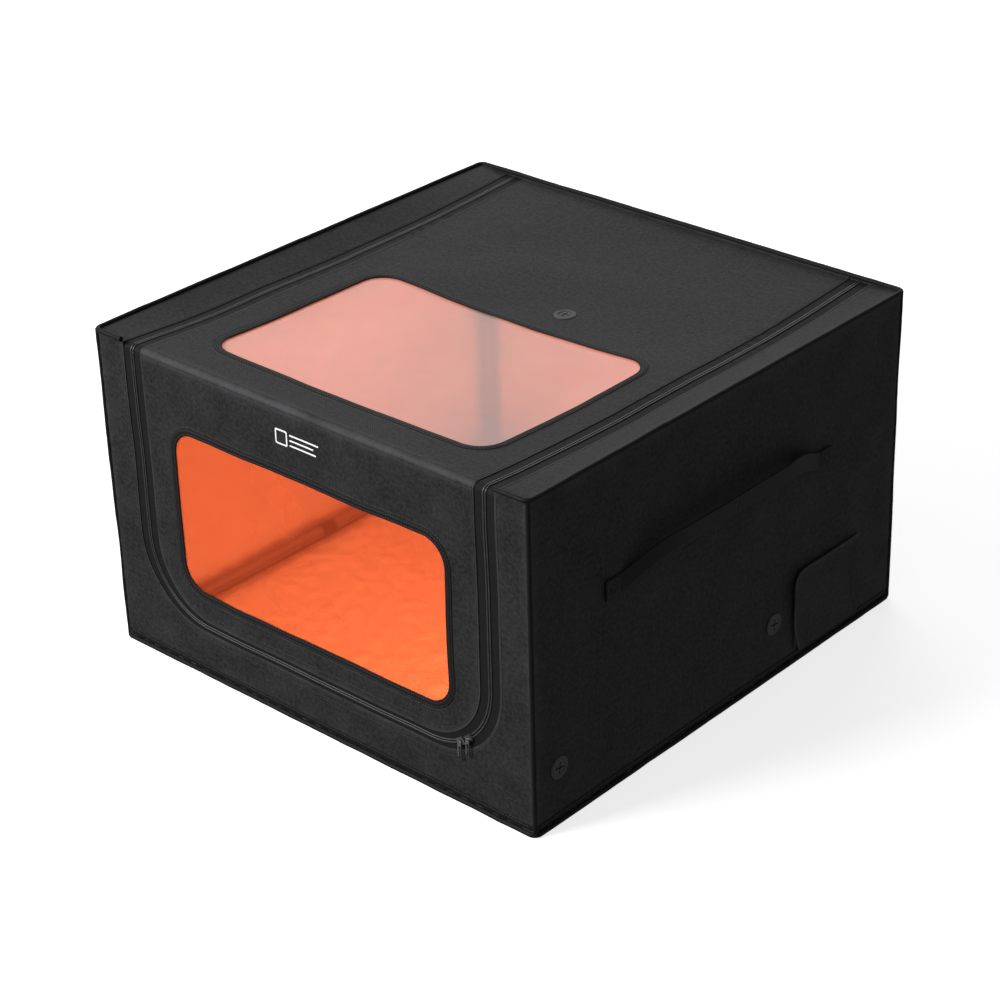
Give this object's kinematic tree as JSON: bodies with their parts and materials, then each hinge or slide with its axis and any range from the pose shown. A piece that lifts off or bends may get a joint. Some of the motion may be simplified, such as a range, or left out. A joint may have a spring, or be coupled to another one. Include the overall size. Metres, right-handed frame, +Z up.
{
  "type": "printer enclosure tent",
  "caption": "Soft-sided square enclosure tent on a tube frame, with zipped top and front flaps, tinted film windows, carrying handles and cable ports.",
  "frame": {"origin": "on the ground, under the middle of the tent's box", "axes": "+Z up; -Y is the front with the zipped window flap; +X is the side with the cable flap"},
  "size_m": [0.7556, 0.72, 0.448],
  "materials": {
    "oxford_black": "coated oxford weave, low sheen",
    "foil_lining": "aluminised lining, soft sheen",
    "piping_black": "bound edge, matt",
    "window_film": "clear tinted film, glossy",
    "zip_tape": "woven tape, matt",
    "zip_coil": "nylon coil",
    "zip_metal": "black enamelled zinc",
    "tube_steel": "powder coated",
    "connector_plastic": "moulded nylon",
    "tie_webbing": "hook and loop strap",
    "grommet_rubber": "moulded rubber, matt",
    "handle_webbing": "woven webbing",
    "hook_and_loop": "hook and loop",
    "port_plastic": "moulded ABS",
    "screw_steel": "zinc plated",
    "badge_print": "screen print"
  },
  "bodies": {
    "shell": {"left_panel": "oxford_black", "right_panel": "oxford_black", "rear_panel": "oxford_black", "floor_panel": "oxford_black", "front_surround": "oxford_black", "top_strip_left": "oxford_black", "top_strip_right": "oxford_black", "cable_flap_seam": "oxford_black", "left_lining": "foil_lining", "right_lining": "foil_lining", "rear_lining": "foil_lining", "floor_lining": "foil_lining", "surround_lining": "foil_lining", "strip_linings": "foil_lining", "top_piping": "piping_black", "foot_piping": "piping_black", "corner_piping": "piping_black", "foot_hem": "piping_black", "zip_tape_surround": "zip_tape", "zip_coil_surround": "zip_coil", "frame_posts": "tube_steel", "front_rails": "tube_steel", "rear_rails": "tube_steel", "left_rails": "tube_steel", "right_rails": "tube_steel", "lower_connectors": "connector_plastic", "upper_connectors": "connector_plastic", "frame_ties": "tie_webbing", "grommet_front": "grommet_rubber", "grommet_rear": "grommet_rubber", "handle_pads": "handle_webbing", "cable_slot_loops": "hook_and_loop", "port_plate": "port_plastic", "port_clamp_ring": "port_plastic", "port_screws": "screw_steel"},
    "top_flap": {"top_flap": "oxford_black", "top_flap_lining": "foil_lining", "top_window_film": "window_film", "top_window_binding": "piping_black", "zip_tape_top_flap": "zip_tape", "zip_coil_top_flap": "zip_coil", "grommet_top": "grommet_rubber"},
    "front_flap": {"front_flap": "oxford_black", "front_flap_lining": "foil_lining", "front_window_film": "window_film", "front_window_binding": "piping_black", "flap_badge": "badge_print", "zip_tape_front_flap": "zip_tape", "zip_coil_front_flap": "zip_coil"},
    "slider_left": {"slider_left": "zip_metal"},
    "slider_right": {"slider_right": "zip_metal"},
    "pull_left": {"pull_left": "zip_metal"},
    "pull_right": {"pull_right": "zip_metal"},
    "handle_right": {"handle_right": "handle_webbing"},
    "handle_left": {"handle_left": "handle_webbing"},
    "cable_flap": {"cable_flap": "oxford_black", "cable_flap_hooks": "hook_and_loop"}
  },
  "joints": [
    {"name": "top_flap_hinge", "type": "hinge", "parent": "shell", "child": "top_flap", "pos_m": [0, 0.35675, 0.44475], "axis": [-1, 0, 0], "range_deg": [0, 180]},
    {"name": "front_flap_hinge", "type": "hinge", "parent": "top_flap", "child": "front_flap", "pos_m": [0, -0.3558, 0.4413], "axis": [-1, 0, 0], "range_deg": [0, 250]},
    {"name": "slider_left_travel", "type": "hinge", "parent": "front_flap", "child": "slider_left", "pos_m": [0.191, -0.357, 0.1745], "axis": [0, -1, 0], "range_deg": [-31, 0]},
    {"name": "slider_right_travel", "type": "hinge", "parent": "front_flap", "child": "slider_right", "pos_m": [0.191, -0.357, 0.1745], "axis": [0, -1, 0], "range_deg": [0, 50]},
    {"name": "pull_left_swing", "type": "hinge", "parent": "slider_left", "child": "pull_left", "pos_m": [0.2425, -0.3586, 0.08878], "axis": [-1, 0, 0], "range_deg": [0, 150]},
    {"name": "pull_right_swing", "type": "hinge", "parent": "slider_right", "child": "pull_right", "pos_m": [0.25528, -0.3586, 0.0979], "axis": [-1, 0, 0], "range_deg": [0, 150]},
    {"name": "handle_right_swing", "type": "hinge", "parent": "shell", "child": "handle_right", "pos_m": [0.3555, 0, 0.2615], "axis": [0, 1, 0], "range_deg": [0, 75]},
    {"name": "handle_left_swing", "type": "hinge", "parent": "shell", "child": "handle_left", "pos_m": [-0.3555, 0, 0.2615], "axis": [0, -1, 0], "range_deg": [0, 75]},
    {"name": "cable_flap_hinge", "type": "hinge", "parent": "shell", "child": "cable_flap", "pos_m": [0.35885, 0.27215, 0.0745], "axis": [0, 0, 1], "range_deg": [0, 170]}
  ]
}
